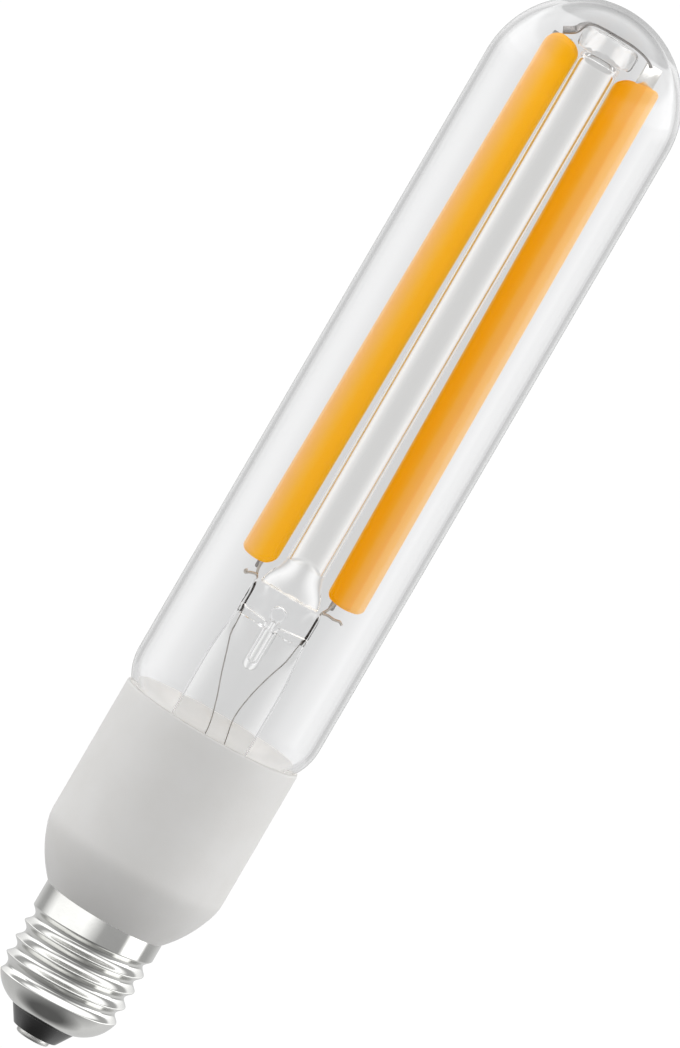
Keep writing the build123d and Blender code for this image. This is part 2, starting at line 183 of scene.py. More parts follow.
# Support column with its button, and the milky seam between it and the press, which shines with painted cream
# light
column_r = 4.25 * mm
column_bore_r = 3.5 * mm
column_steps = 10
foot_height = 6.7 * mm
foot_width = 12.8 * mm
foot_depth = 4.4 * mm
foot_bevel = 0.3 * mm
foot_steps = 14
bore_floor = 0.1 * mm
bore_arch = 1.7 * mm
arch_steps = 10
button_height = 5.0 * mm
button_round = 1.3 * mm
button_fillet = 0.4 * mm
button_crown = 0.9 * mm
button_lead = 1.0 * mm
button_skin = 4.2 * mm
button_wave = 0.26 * mm
seam_height = 0.75 * mm
seam_wave = 1.4 * mm
seam_fade = 0.5 * mm
seam_clear = 0.25
seam_painted_glow = 0.5

# Filaments
bottom_bulge = 0.8 * mm
top_bulge = 0.25 * mm
top_tilt = 0.6 * mm
end_reach = 5.0 * mm
end_edge_least = 0.5 * mm
end_cuts = 6
filament_bevel = 1.5 * mm
bevel_steps = 6
bevel_least = 0.2 * mm
filament_round_steps = 10
# Each bar's bottom and top width, bottom and top distance from the axis, and bottom and top trim
left_bar = (7.4 * mm, 7.5 * mm, 9.42 * mm, 8.04 * mm, 0.15 * mm, 0.45 * mm)
right_bar = (8.05 * mm, 8.95 * mm, 10.33 * mm, 8.85 * mm, 0.2 * mm, 1.3 * mm)
# Rounding of each bar's bottom inner, bottom outer, top outer and top inner corner
left_corners = (2.3 * mm, 1.2 * mm, 3.2 * mm, 2.6 * mm)
right_corners = (1.3 * mm, 1.3 * mm, 1.0 * mm, 2.8 * mm)

# Tabs, strap and leads
sheet_bevel = 0.08 * mm
tab_corner = 0.35 * mm
tab_corner_steps = 4
tab_turn = radians(35)
tab_shift = 0.9 * mm
left_tab_share = 0.3
strap_thick = 0.5 * mm
inner_lead_r = 0.18 * mm
hook_r = 0.28 * mm
hook_front = 0.3 * mm
lead_neck = 0.8 * mm
outer_lead_r = 0.13 * mm
wire_sides = 14
strand_sides = 10
line_steps = 6


def clip(value):
    """Value held between 0 and 1."""
    return max(0.0, min(1.0, value))


def ease(t):
    """Soft step from 0 to 1."""
    t = clip(t)
    return t * t * (3 - 2 * t)


def mix(first, last, t):
    """Value a share of the way from the first to the last."""
    return first + (last - first) * t


def arc(centre, radius, start, end, steps):
    """Points of an arc in a half section, from one angle to another in radians."""
    angles = [mix(start, end, i / steps) for i in range(steps + 1)]
    return [(centre[0] + radius * cos(a), centre[1] + radius * sin(a)) for a in angles]


def arc_through(first, middle, last, steps):
    """Points of the arc through three points of a half section."""
    ax, ay = first
    bx, by = middle
    cx, cy = last
    d = 2 * (ax * (by - cy) + bx * (cy - ay) + cx * (ay - by))
    a2, b2, c2 = ax * ax + ay * ay, bx * bx + by * by, cx * cx + cy * cy
    centre = (
        (a2 * (by - cy) + b2 * (cy - ay) + c2 * (ay - by)) / d,
        (a2 * (cx - bx) + b2 * (ax - cx) + c2 * (bx - ax)) / d,
    )
    start = atan2(ay - centre[1], ax - centre[0])
    end = atan2(cy - centre[1], cx - centre[0])
    return arc(centre, hypot(ax - centre[0], ay - centre[1]), start, end, steps)


def rounded(points, steps=round_steps):
    """A section's corners (x, y, rounding) as points, each corner replaced by an arc of its rounding."""
    out = []
    for i, (x, y, r) in enumerate(points):
        before = Vector(points[i - 1][:2])
        after = Vector(points[(i + 1) % len(points)][:2])
        corner = Vector((x, y))
        if r == 0:
            out.append((x, y))
            continue
        a = (before - corner).normalized()
        b = (after - corner).normalized()
        half = a.angle(b) / 2
        room = round_share * min((before - corner).length, (after - corner).length)
        reach = min(r / tan(half), room)
        r = reach * tan(half)
        centre = corner + (a + b).normalized() * (r / sin(half))
        p, q = corner + a * reach - centre, corner + b * reach - centre
        start = atan2(p.y, p.x)
        turn = (atan2(q.y, q.x) - start + pi) % (2 * pi) - pi
        out += arc(centre, r, start, start + turn, steps)
    return out


def through(points, steps):
    """Smooth line through points of any number of values, with steps between neighbours."""
    ends = [points[0]] + points + [points[-1]]
    line = []
    for a, b, c, d in zip(ends, ends[1:], ends[2:], ends[3:]):
        for i in range(steps):
            t = i / steps
            place = []
            for p, q, r, s in zip(a, b, c, d):
                square = (2 * p - 5 * q + 4 * r - s) * t * t
                cube = (3 * q - p - 3 * r + s) * t**3
                place.append(0.5 * (2 * q + (r - p) * t + square + cube))
            line.append(tuple(place))
    return line + [points[-1]]


def plain_object(name, mesh):
    """Object of a finished bmesh, which is freed."""
    data = bpy.data.meshes.new(name)
    mesh.to_mesh(data)
    mesh.free()
    made = bpy.data.objects.new(name, data)
    bpy.context.scene.collection.objects.link(made)
    return made


def smooth(data):
    """Shade a mesh smooth, with sharp edges only where its faces meet at a real corner."""
    data.shade_smooth()
    data.set_sharp_from_angle(angle=sharp_angle)


def new_piece(name, mesh):
    """Smooth-shaded object of a finished bmesh."""
    piece = plain_object(name, mesh)
    smooth(piece.data)
    return piece


def face_outwards(mesh):
    """Turn all faces of a closed bmesh outwards."""
    bmesh.ops.recalc_face_normals(mesh, faces=mesh.faces)
    if mesh.calc_volume(signed=True) < 0:
        bmesh.ops.reverse_faces(mesh, faces=mesh.faces)


def soften(mesh):
    """Turn a metal sheet's faces outwards and bevel its sharp edges a little."""
    face_outwards(mesh)
    sharp = [e for e in mesh.edges if e.calc_face_angle(0) > fold_angle]
    bmesh.ops.bevel(mesh, geom=sharp, offset=sheet_bevel, segments=2, profile=0.5, affect="EDGES")


def skin(mesh, rings, loop=False, caps=False):
    """Join rings of points into a skin.

    A ring of one point closes an end, caps close both ends with a face, and loop joins the last to the first.
    """
    made = [[mesh.verts.new(p) for p in ring] for ring in rings]
    pairs = list(zip(made, made[1:]))
    if loop:
        pairs.append((made[-1], made[0]))
    for low, high in pairs:
        count = max(len(low), len(high))
        for i in range(count):
            j = (i + 1) % count
            if len(low) == 1:
                mesh.faces.new((low[0], high[j], high[i]))
            elif len(high) == 1:
                mesh.faces.new((low[i], low[j], high[0]))
            else:
                mesh.faces.new((low[i], low[j], high[j], high[i]))
    if caps:
        mesh.faces.new(made[0][::-1])
        mesh.faces.new(made[-1])


def around(sides):
    """Angles of the sides of a ring."""
    return [2 * pi * i / sides for i in range(sides)]


def turned_mesh(section, sides, loop=False):
    """Bmesh turned about Z from a half section, which runs from axis to axis or closes on itself."""
    rings = []
    for r, z in section:
        if r < on_axis:
            rings.append([(0, 0, z)])
        else:
            rings.append([(r * cos(a), r * sin(a), z) for a in around(sides)])
    mesh = bmesh.new()
    skin(mesh, rings, loop)
    face_outwards(mesh)
    return mesh


def turned(name, section, loop=True, sides=turn_sides):
    """Piece turned about Z from a half section."""
    return new_piece(name, turned_mesh(section, sides, loop))


def tube(mesh, points, radii, sides=wire_sides):
    """Round wire along a route of points, with a radius for each point and closed ends."""
    route = [Vector(p) for p in points]
    rings = [[tuple(route[0])]]
    side = Vector((0, 1, 0))
    for i, (p, radius) in enumerate(zip(route, radii)):
        ahead = (route[min(i + 1, len(route) - 1)] - route[max(i - 1, 0)]).normalized()
        up = ahead.cross(side).normalized()
        across = up.cross(ahead).normalized()
        rings.append([tuple(p + radius * (cos(a) * up + sin(a) * across)) for a in around(sides)])
    rings.append([tuple(route[-1])])
    skin(mesh, rings)


# Heights and radii read from the CAD boxes
glass_low, glass_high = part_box("glass_bulb")
glass_r = min(glass_high.x, -glass_low.x, glass_high.y, -glass_low.y)
dome_z = glass_high.z - glass_r
stem_low, stem_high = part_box("stem")
neck_z = glass_low.z
housing_low, housing_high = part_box("housing")
housing_r = housing_high.x
shell_low, shell_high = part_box("screw_shell")
crest_r = shell_high.x
shell_top = shell_high.z
shell_bottom = shell_low.z
shoulder_z = shell_top + shoulder_height
housing_top = housing_high.z
column_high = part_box("support_column")[1]
button_r = column_high.x
press_top = stem_high.z
flare_low = stem_low.z
tube_top = flare_low + stem_tube_height
press_bottom = tube_top + press_taper
corner_z = housing_top + glass_corner_rise
corner_r = glass_r - glass_corner
bore_r = crest_r - thread_depth - shell_wall


# Glass bulb
def bulb_section(inset):
    """Half section of the glass bulb's skin from the dome's pole to the neck's end."""
    radius = glass_r - inset
    corner = glass_corner - inset
    neck = glass_neck_r - inset
    mouth_angle = -acos((neck + glass_neck_bevel - corner_r) / corner)
    points = arc((0, dome_z), radius, pi / 2, 0, dome_steps)
    points[0] = (0, dome_z + radius)
    for i in range(1, straight_steps):
        points.append((radius, mix(dome_z, corner_z, i / straight_steps)))
    points += arc((corner_r, corner_z), corner, 0, mouth_angle, glass_corner_steps)
    mouth_low = points[-1][1]
    return points + [(neck, mouth_low - glass_neck_bevel), (neck, neck_z)]


outer = bulb_section(0)
inner = bulb_section(glass_wall)
glass_bulb = turned("glass_bulb_clear", outer + inner[::-1], loop=False, sides=glass_sides)

# Housing with its round shoulder, the neck inside the shell and a mouth shaped to the glass
turn_end = (
    housing_r - shoulder_round * (1 - cos(shoulder_turn)),
    shoulder_z - shoulder_round * sin(shoulder_turn),
)
inward = (-cos(shoulder_turn), sin(shoulder_turn))
reach = (crest_r - turn_end[0], shell_top - turn_end[1])
slope_r = (reach[0] ** 2 + reach[1] ** 2) / (2 * (reach[0] * inward[0] + reach[1] * inward[1]))
slope_centre = (turn_end[0] + slope_r * inward[0], turn_end[1] + slope_r * inward[1])
slope_end = atan2(shell_top - slope_centre[1], crest_r - slope_centre[0])
inner_r = housing_r - housing_wall
corner_fit = glass_corner + glass_gap
mouth_r = corner_r + sqrt(corner_fit**2 - (corner_z - housing_top) ** 2)
mouth_z = corner_z - sqrt(corner_fit**2 - (inner_r - corner_r) ** 2)
seat_r = crest_r - shell_wall - seat_gap
neck_r = bore_r - seat_gap
neck_bore_r = neck_r - neck_wall
collar_bottom = shell_top - collar_seat
lip_centre = (housing_r - housing_lip, housing_top - housing_lip)
shoulder_centre = (housing_r - shoulder_round, shoulder_z)
section = arc(lip_centre, housing_lip, pi / 2, 0, lip_steps)
section += [(housing_r, mix(housing_top, shoulder_z, i / side_steps)) for i in range(1, side_steps)]
section += arc(shoulder_centre, shoulder_round, 0, -shoulder_turn, shoulder_steps)
section += arc(slope_centre, slope_r, -shoulder_turn, slope_end, slope_steps)[1:]
section += [
    (seat_r, shell_top),
    (seat_r, collar_bottom),
    (neck_r, collar_bottom),
    (neck_r, housing_low.z),
    (neck_bore_r, housing_low.z),
    (neck_bore_r, shell_top + housing_wall),
    (inner_r, shoulder_z),
    (inner_r, mouth_z),
    (mouth_r, housing_top),
]
housing = turned("housing_moulding", section)

# Screw shell with a rolled right-hand thread between the plain collar and the round flare
flare_top = shell_bottom + flare_height
flare = arc_through(
    (rim_r, shell_bottom),
    (flare_waist_r, shell_bottom + flare_waist_height),
    (crest_r, flare_top),
    flare_arc_steps,
)
row_step = thread_pitch / rows_per_turn
groove_z = flare_top + thread_pitch * (thread_start / (2 * pi) - 0.5)
thread_low = groove_z - groove_clear * thread_pitch


def radius_at(section, z):
    """Radius of a half section at a height."""
    for (r1, z1), (r2, z2) in zip(section, section[1:]):
        if min(z1, z2) <= z <= max(z1, z2) and abs(z1 - z2) > same_height:
            return mix(r1, r2, (z - z1) / (z2 - z1))
    return section[-1][0]


def thread_radius(r, z, angle):
    """Outer radius of the shell at a height and angle, with the thread's groove taken off."""
    turns = ((angle - thread_start) % (2 * pi)) / (2 * pi)
    place = (z - groove_z) / thread_pitch - turns
    nearest = round(place)
    along = nearest + turns
    fade = ease(min(along, thread_turns - along) / thread_fade + 0.5)
    wave = cos(pi * (place - nearest))
    dip = (sqrt(wave * wave + crest_round**2) - crest_round) / (sqrt(1 + crest_round**2) - crest_round)
    return r - groove_depth * dip * fade


mesh = bmesh.new()
shell_points = {}


def shell_point(i, r, z):
    """Vertex of the shell at one of its sides; without a radius it lies on the threaded outside."""
    key = (i % shell_sides, r, round(z / same_height))
    if key not in shell_points:
        a = 2 * pi * (i % shell_sides) / shell_sides
        radius = thread_radius(radius_at(flare, z), z, a) if r is None else r
        shell_points[key] = mesh.verts.new((radius * cos(a), radius * sin(a), z))
    return shell_points[key]


def shell_face(corners):
    """Face between corners (side, radius, height), of which some may be the same vertex."""
    verts = [shell_point(*corner) for corner in corners]
    kept = [v for k, v in enumerate(verts) if v is not verts[k - 1]]
    if len(kept) > 2:
        mesh.faces.new(kept)


def shell_strip(i, low, high):
    """Face of the shell from one side to the next, between two places (radius, height) of its section."""
    shell_face([(i, *low), (i + 1, *low), (i + 1, *high), (i, *high)])


grid_rows = ceil((shell_top - thread_low) / row_step) + rows_per_turn
flare_rows = [(None, z) for r, z in flare if z < thread_low] + [(None, thread_low)]
inner_flare = [(r - shell_wall, z) for r, z in flare if r - shell_wall < bore_r]
inside = [
    (seat_r + seat_gap, shell_top),
    (seat_r + seat_gap, collar_bottom),
    (bore_r, collar_bottom),
    (bore_r, flare_top),
]
inside += inner_flare[::-1]
for i in range(shell_sides):
    for low, high in zip(flare_rows, flare_rows[1:]):
        shell_strip(i, low, high)
    for j in range(grid_rows):
        corners = []
        for side, row in ((i, j), (i + 1, j), (i + 1, j + 1), (i, j + 1)):
            z = thread_low + (row - rows_per_turn) * row_step + thread_pitch * side / shell_sides
            corners.append((side, None, max(thread_low, min(shell_top, z))))
        shell_face(corners)
    for low, high in zip(inside, inside[1:]):
        shell_strip(i, low, high)
    shell_strip(i, (None, shell_top), inside[0])
    shell_strip(i, (None, shell_bottom), inside[-1])
face_outwards(mesh)
screw_shell = new_piece("screw_shell_rolled", mesh)

# Insulator and contact at the cap's foot
insulator_low, insulator_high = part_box("insulator")
contact_low, contact_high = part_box("centre_contact")
contact_r = contact_high.x
insulator_corners = [
    (wire_hole_r, insulator_low.z, fine_edge),
    (insulator_foot_r, insulator_low.z, glaze_edge),
    (rim_r - rim_gap, shell_bottom - rim_gap, fine_edge),
    (rim_r - shell_wall - rim_gap, shell_bottom - rim_gap, 0),
    (insulator_high.x, insulator_high.z, glaze_edge),
    (wire_hole_r, insulator_high.z, fine_edge),
]
insulator = turned("insulator_glazed", rounded(insulator_corners))
contact_corners = [
    (0, contact_low.z, 0),
    (contact_r, contact_low.z, contact_edge),
    (contact_r, contact_high.z, fine_edge),
    (0, contact_high.z, 0),
]
centre_contact = turned("centre_contact_disc", rounded(contact_corners), loop=False)

# Support column: foot blended from the press, tube with its closed bore, and the button
button_bottom = column_high.z - button_height
foot_top = press_top + foot_height


def oval_ring(width, depth, z):
    """Elliptical ring at a height."""
    return [(width * cos(a), depth * sin(a), z) for a in around(oval_sides)]


rings = [[(0, 0, press_top)]]
rings.append(oval_ring(foot_width / 2 - foot_bevel, foot_depth / 2 - foot_bevel, press_top))
for i in range(foot_steps + 1):
    t = i / foot_steps
    width = mix(foot_width / 2, column_r, ease(t))
    depth = mix(foot_depth / 2, column_r, ease(t))
    rings.append(oval_ring(width, depth, mix(press_top + foot_bevel, foot_top, t)))
for i in range(1, column_steps):
    rings.append(oval_ring(column_r, column_r, mix(foot_top, button_bottom, i / column_steps)))
button_corners = [
    (column_r, button_bottom - button_lead, 0),
    (column_r, button_bottom, button_fillet),
    (button_r, button_bottom, button_round),
    (button_r, column_high.z - button_crown, button_round),
    (0, column_high.z, 0),
]
rings += [oval_ring(r, r, z) for r, z in rounded(button_corners)[:-1]]
rings.append([(0, 0, column_high.z)])
mesh = bmesh.new()
skin(mesh, rings)
for v in mesh.verts:
    if v.co.z > button_bottom and hypot(v.co.x, v.co.y) > column_r:
        v.co.xy *= 1 + button_wave / button_r * (noise.noise(v.co / ridge_grain) - 1)
face_outwards(mesh)
bore_low = foot_top + bore_floor
bore_high = column_high.z - button_skin
floor_line = []
roof_line = []
for i in range(arch_steps + 1):
    t = i / arch_steps
    floor_line.append((column_bore_r * t, bore_low + bore_arch * (1 - t**2)))
    roof_line.append((column_bore_r * cos(pi / 2 * t), bore_high - column_bore_r * (1 - sin(pi / 2 * t))))
roof_line[-1] = (0, bore_high)
cavity = turned_mesh(floor_line + roof_line, oval_sides)
bmesh.ops.reverse_faces(cavity, faces=cavity.faces)
data = bpy.data.meshes.new("cavity")
cavity.to_mesh(data)
cavity.free()
mesh.from_mesh(data)
bpy.data.meshes.remove(data)
support_column = new_piece("support_column_glass", mesh)

# Glass stem: flared tube squeezed flat round the leads, with its exhaust tube and blown hole
stem_rim_r = glass_neck_r - glass_wall


def squeezed_ring(radius, depth, z, softness):
    """Round section of the stem, pressed from front and back towards a depth."""
    ring = []
    for a in around(oval_sides):
        x, y = radius * cos(a), radius * sin(a)
        pressed = y / (1 + abs(2 * y / depth) ** press_square) ** (1 / press_square)
        ring.append((x, mix(y, pressed, softness), z))
    return ring


def stem_skin(radius, rim, flat, depth, flat_bottom, top, edge):
    """Closed form of the stem: rim, flare, tube, taper and flat."""
    flare_end = flare_low + flare_rim + flare_rise
    rings = [[(0, 0, flare_low)]]
    for i in range(flare_steps + 1):
        t = i / flare_steps
        r = mix(radius, rim, (1 - t) ** 2)
        rings.append(oval_ring(r, r, mix(flare_low, flare_end, t)))
    for i in range(1, stem_steps + 1):
        rings.append(oval_ring(radius, radius, mix(flare_end, tube_top, i / stem_steps)))
    for i in range(1, taper_steps + 1):
        t = i / taper_steps
        squeeze = mix(2 * radius, depth, mix(ease(t), t, taper_straight))
        width = mix(radius, flat, ease(t))
        rings.append(squeezed_ring(width, squeeze, mix(tube_top, flat_bottom, t), ease(t)))
    for i in range(1, press_steps):
        rings.append(squeezed_ring(flat, depth, mix(flat_bottom, top - edge, i / press_steps), 1))
    for i in range(press_round_steps + 1):
        a = pi / 2 * i / press_round_steps
        inset = edge * (1 - cos(a))
        rings.append(squeezed_ring(flat - inset, depth - 2 * inset, top - edge * (1 - sin(a)), 1))
    rings.append([(0, 0, top)])
    body = bmesh.new()
    skin(body, rings)
    face_outwards(body)
    return body


def cut(target, tool_name, tool_mesh, operation):
    """Join or take off a tool's mesh with a boolean, and drop the tool."""
    tool = plain_object(tool_name, tool_mesh)
    modifier = target.modifiers.new("cut", "BOOLEAN")
    modifier.operation = operation
    modifier.solver = "EXACT"
    modifier.object = tool
    bpy.context.view_layer.update()
    graph = bpy.context.evaluated_depsgraph_get()
    result = bpy.data.meshes.new_from_object(target.evaluated_get(graph))
    target.modifiers.clear()
    target.data = result
    bpy.data.objects.remove(tool)


stem = plain_object(
    "stem_pressed",
    stem_skin(stem_r, stem_rim_r, press_half_width, press_depth, press_bottom, press_top, press_round),
)
hollow_top = press_top - press_height
hollow = stem_skin(
    stem_r - stem_wall,
    stem_rim_r - stem_wall,
    press_half_width - stem_wall / 2,
    pinch_depth,
    hollow_top - pinch_round,
    hollow_top,
    pinch_round,
)
for v in hollow.verts:
    if v.co.z <= flare_low + level_slack:
        v.co.z -= hollow_overshoot
    if v.co.z > press_bottom:
        v.co.z -= pinch_sag * (1 - (v.co.x / press_half_width) ** 2)
        v.co.z += ridge_wave * noise.noise(v.co / ridge_grain)
cut(stem, "hollow", hollow, "DIFFERENCE")

tip_z = press_bottom - exhaust_length
pipe_top = hollow_top + exhaust_overlap
pipe_section = [(0, tip_z)]
for i in range(1, tip_steps + 1):
    a = pi / 2 * i / tip_steps
    pipe_section.append((exhaust_r * sin(a), tip_z + exhaust_r * (1 - cos(a))))
pipe_section += [(exhaust_r, pipe_top), (0, pipe_top)]
cut(stem, "pipe", turned_mesh(pipe_section, pipe_sides), "UNION")

hole_z = press_top - exhaust_hole_drop
bore_tip = tip_z + exhaust_tip
bore_section = [
    (0, bore_tip),
    (exhaust_bore_r * bore_tip_share, bore_tip + bore_tip_rise),
    (exhaust_bore_r, bore_tip + bore_tip_height),
    (exhaust_bore_r, hole_z),
    (0, hole_z),
]
cut(stem, "pipe_bore", turned_mesh(bore_section, bore_sides), "DIFFERENCE")

half = press_depth / 2 + hole_overshoot
rings = [[(0, -half, hole_z)]]
for i in range(hole_steps + 1):
    y = mix(-half, half, i / hole_steps)
    outside = max(0.0, (abs(y) - half * hole_straight) / (half * (1 - hole_straight)))
    r = exhaust_hole_r - hole_waist + hole_flare * outside**2
    rings.append([(r * cos(a), y, hole_z + r * sin(a)) for a in around(pipe_sides)])
rings.append([(0, half, hole_z)])
blown = bmesh.new()
skin(blown, rings)
face_outwards(blown)
cut(stem, "blown", blown, "DIFFERENCE")

# The cuts leave slivers, which are welded shut before the surface gets its waves
mesh = bmesh.new()
mesh.from_mesh(stem.data)
bmesh.ops.remove_doubles(mesh, verts=mesh.verts, dist=weld)
bmesh.ops.dissolve_degenerate(mesh, edges=mesh.edges, dist=weld)
bmesh.ops.dissolve_verts(mesh, verts=[v for v in mesh.verts if len(v.link_edges) == 2])
mesh.to_mesh(stem.data)
mesh.free()
for v in stem.data.vertices:
    share = clip((v.co.z - press_bottom) / wave_rise)
    ridge = clip((v.co.z - press_top + ridge_depth) / ridge_depth)
    v.co += v.normal * (press_wave * share + ridge_wave * ridge) * noise.noise(v.co / ridge_grain)
smooth(stem.data)


# Filaments: flat bars with rounded ends and bevelled long edges, leaning together
def filament(name, node, side, bar, roundings):
    """One LED bar as a rounded prism with bevelled rims; UV u runs from its inner to its outer edge."""
    low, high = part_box(node)
    bottom_width, top_width, bottom_x, top_x, bottom_trim, top_trim = bar
    bottom = low.z + bottom_trim
    length = high.z - top_trim - bottom
    depth = high.y - low.y
    w, h = bottom_width / 2, length / 2
    rims = []
    for i in range(bevel_steps + 1):
        a = pi / 2 * i / bevel_steps
        rims.append((filament_bevel * (1 - sin(a)), -depth / 2 + filament_bevel * (1 - cos(a))))
    rims += [(inset, -y) for inset, y in rims[::-1]]
    rings = []
    for inset, y in rims:
        wide, tall = w - inset, h - inset
        places = [(-wide, -tall), (wide, -tall), (wide, tall), (-wide, tall)]
        corners = [(x, z, max(r - inset, bevel_least)) for (x, z), r in zip(places, roundings)]
        rings.append([(side * x, y, z) for x, z in rounded(corners, filament_round_steps)])
    body = bmesh.new()
    skin(body, rings, caps=True)
    end_edges = []
    for edge in body.edges:
        first, second = edge.verts[0].co, edge.verts[1].co
        level = abs(first.z - second.z) < level_slack
        if abs(first.z) > h - end_reach and level and abs(first.x - second.x) > end_edge_least:
            end_edges.append(edge)
    bmesh.ops.subdivide_edges(body, edges=end_edges, cuts=end_cuts)
    face_outwards(body)
    uv = body.loops.layers.uv.new("UVMap")
    for face in body.faces:
        for loop in face.loops:
            loop[uv].uv = (0.5 + side * loop.vert.co.x / bottom_width, (loop.vert.co.z + h) / length)
    for v in body.verts:
        t = (v.co.z + h) / length
        near_end = max(0.0, 1 - (h - abs(v.co.z)) / end_reach)
        across = side * v.co.x / w
        if v.co.z > 0:
            shift = top_tilt * across - top_bulge * across**2
        else:
            shift = bottom_bulge * across**2
        v.co.z += bottom + h + shift * near_end
        v.co.x = v.co.x * mix(1, top_width / bottom_width, t) + side * mix(bottom_x, top_x, t)
    return new_piece(name, body)


filament_left = filament("filament_left_bar", "filament_left", -1, left_bar, left_corners)
filament_right = filament("filament_right_bar", "filament_right", 1, right_bar, right_corners)


# Metal tabs and the strap over the button
def plate(name, low, high):
    """Thin sheet-metal tab filling a box, with rounded corners in its own plane."""
    body = bmesh.new()
    bmesh.ops.create_cube(body, size=1.0)
    size = high - low
    centre = (low + high) / 2
    for v in body.verts:
        v.co = Vector((v.co.x * size.x, v.co.y * size.y, v.co.z * size.z)) + centre
    across = [e for e in body.edges if abs(e.verts[0].co.y - e.verts[1].co.y) > level_slack]
    bevel = {"offset": tab_corner, "segments": tab_corner_steps, "profile": 0.5, "affect": "EDGES"}
    bmesh.ops.bevel(body, geom=across, **bevel)
    soften(body)
    return new_piece(name, body)


strap_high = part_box("top_strap")[1]
tabs = {}
for name, bar, turn, tall in (
    ("top_tab_left", left_bar, 0, left_tab_share),
    ("top_tab_right", right_bar, tab_turn, 1.0),
):
    low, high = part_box(name)
    high.z = mix(low.z, high.z, tall)
    middle = (low + high) / 2
    side = -1 if middle.x < 0 else 1
    tab = plate(name + "_strip", low, high)
    place = Vector((side * (bar[3] + tab_shift), middle.y, middle.z))
    spin = Matrix.Translation(place) @ Matrix.Rotation(turn, 4, "Z")
    tab.data.transform(spin @ Matrix.Translation(-middle))
    tabs[name] = tab
for name in ("bottom_tab_left", "bottom_tab_right"):
    low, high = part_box(name)
    tabs[name] = plate(name + "_strip", low, high)

# The strap comes up twisted from the left bar, runs over the button and ends on the right tab.
# Each place has its x, its height, the twist in degrees and the share of the full width.
strap_top = strap_high.z - strap_thick / 2
strap_width = strap_high.y
right_end = right_bar[3] + tab_shift
strap_line = [
    (-9.6 * mm, strap_top - 4.2 * mm, 60, 0.45),
    (-8.8 * mm, strap_top - 3.8 * mm, 60, 0.45),
    (-7.4 * mm, strap_top - 2.9 * mm, 45, 0.5),
    (-6.6 * mm, strap_top - 1.5 * mm, 20, 0.7),
    (-5.6 * mm, strap_top - 0.55 * mm, 5, 0.9),
    (-3.6 * mm, strap_top - 0.1 * mm, 0, 1.0),
    (0, strap_top, 0, 1.0),
    (3.6 * mm, strap_top - 0.1 * mm, 0, 1.0),
    (6.2 * mm, strap_top - 0.5 * mm, 0, 0.9),
    (8.0 * mm, strap_top - 1.1 * mm, 0, 0.8),
    (right_end - 0.4 * mm, strap_top - 1.9 * mm, 0, 0.6),
]
line = through(strap_line, line_steps)
rings = []
for i, (x, z, twist, share) in enumerate(line):
    x0, z0 = line[max(i - 1, 0)][:2]
    x1, z1 = line[min(i + 1, len(line) - 1)][:2]
    along = Vector((x1 - x0, 0, z1 - z0)).normalized()
    flat = Vector((0, 1, 0))
    face = along.cross(flat)
    turn = Matrix.Rotation(radians(twist), 3, along)
    wide = turn @ flat * strap_width * share
    thick = turn @ face * strap_thick / 2
    middle = Vector((x, 0, z))
    rings.append([tuple(middle + wide * a + thick * b) for a, b in ((-1, -1), (1, -1), (1, 1), (-1, 1))])
mesh = bmesh.new()
skin(mesh, rings, caps=True)
soften(mesh)
top_strap = new_piece("top_strap_ribbon", mesh)

# Leads, as routes of x and height in millimetres: thick ones with a hook below the tab, and thin strands
lead_lines = {
    "inner_lead_left": [
        (-8.3, 105.9), (-7.9, 103.3), (-7.2, 102.0), (-6.85, 99.5), (-6.9, 97.0), (-6.75, 95.0),
    ],
    "inner_lead_right": [
        (8.6, 105.9), (8.0, 103.8), (7.2, 102.3), (7.05, 100.0), (7.0, 97.6), (6.8, 95.2),
    ],
}
hooks = {
    "inner_lead_left": [
        (-7.5, 102.9), (-8.4, 102.8), (-9.3, 102.5), (-9.9, 102.1), (-10.1, 102.5), (-9.7, 102.7),
    ],
    "inner_lead_right": [
        (7.5, 102.7), (8.6, 102.9), (10.0, 102.8), (11.2, 103.0), (11.9, 102.6),
    ],
}
strands = {
    "outer_lead_left": [
        (-6.6, 96.2), (-6.5, 93.5), (-6.3, 90.3), (-5.7, 88.0), (-3.86, 82.2), (-1.98, 76.7),
        (-0.7, 70.5), (-1.4, 64.0), (-1.6, 61.0),
    ],
    "outer_lead_right": [
        (6.65, 96.4), (6.45, 93.5), (6.2, 91.6), (5.8, 89.8), (4.5, 85.9), (3.3, 81.2),
        (2.7, 75.8), (3.6, 70.4), (4.3, 64.5), (4.4, 61.0),
    ],
}
outer_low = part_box("outer_lead_right")[0]


def wire_line(route, y=0):
    """Smooth line in metres through a route, at one depth."""
    return [(x * mm, y, z * mm) for x, z in through(route, line_steps)]


leads = {}
for name, route in lead_lines.items():
    mesh = bmesh.new()
    line = wire_line(route)
    radii = [mix(inner_lead_r, hook_r, clip((z - press_top) / lead_neck)) for x, y, z in line]
    tube(mesh, line, radii)
    line = wire_line(hooks[name], -hook_front)
    tube(mesh, line, [hook_r] * len(line))
    face_outwards(mesh)
    leads[name] = new_piece(name + "_wire", mesh)
for name, route in strands.items():
    mesh = bmesh.new()
    line = wire_line(route)
    line.append((line[-1][0], 0, outer_low.z))
    tube(mesh, line, [outer_lead_r] * len(line), strand_sides)
    face_outwards(mesh)
    leads[name] = new_piece(name + "_wire", mesh)

# Silicone bead between the glass and the housing
bead_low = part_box("adhesive_ring")[0]
skirt = corner_fit - bead_skin
bead = [(inner_r, bead_low.z), (inner_r, mouth_z - bead_skin)]
for i in range(mouth_steps + 1):
    z = mix(mouth_z, housing_top, i / mouth_steps)
    bead.append((corner_r + sqrt(skirt**2 - (corner_z - z) ** 2), z))
for i in range(bead_steps + 1):
    z = mix(housing_top, bead_low.z, i / bead_steps)
    bead.append((radius_at(outer, z) + bead_skin, z))
adhesive_ring = turned("adhesive_ring_bead", bead)
